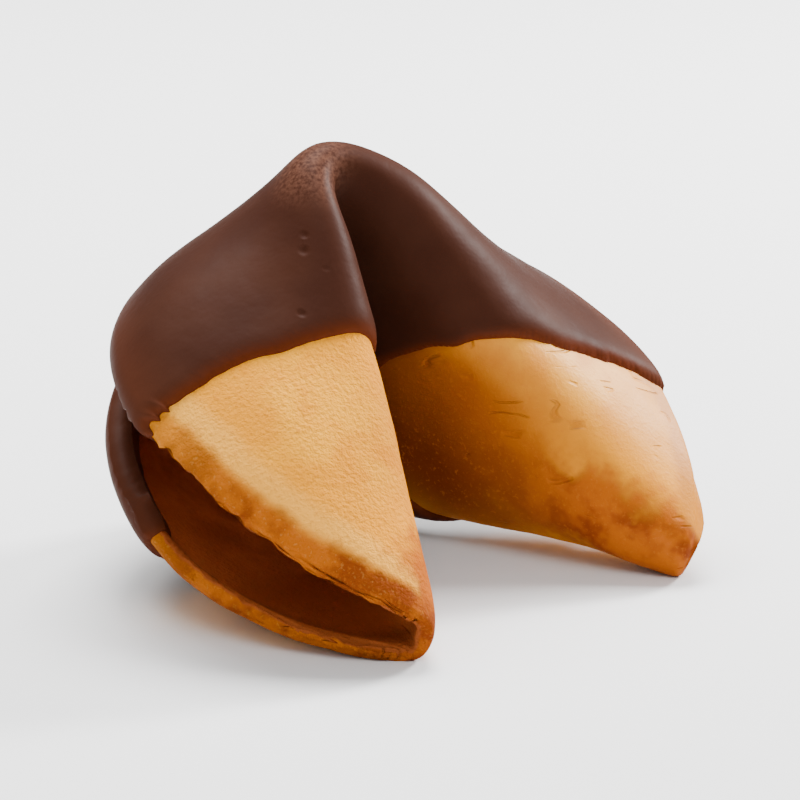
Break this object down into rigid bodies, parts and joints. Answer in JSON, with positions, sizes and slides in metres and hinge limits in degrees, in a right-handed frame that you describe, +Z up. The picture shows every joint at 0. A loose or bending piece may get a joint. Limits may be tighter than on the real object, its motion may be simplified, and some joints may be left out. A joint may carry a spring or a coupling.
{
  "type": "fortune cookie",
  "caption": "Folded crisp wafer cookie with a pointed peak, a notch between its lobes and an open side seam, its back half dipped in chocolate.",
  "frame": {"origin": "on the surface the cookie lies on, below the middle of its bounding box", "axes": "+X from the left lobe to the right lobe, -Y the way the notch between the lobes faces, with the seam at the back, +Z up"},
  "size_m": [0.0478, 0.041, 0.0342],
  "materials": {
    "wafer": "baked wafer: matte and grainy golden brown, browner at the rim and the fold",
    "chocolate": "set milk chocolate: smooth satin brown"
  },
  "bodies": {
    "root": {"cookie_wafer": "wafer", "chocolate_coat": "chocolate"}
  },
  "joints": []
}
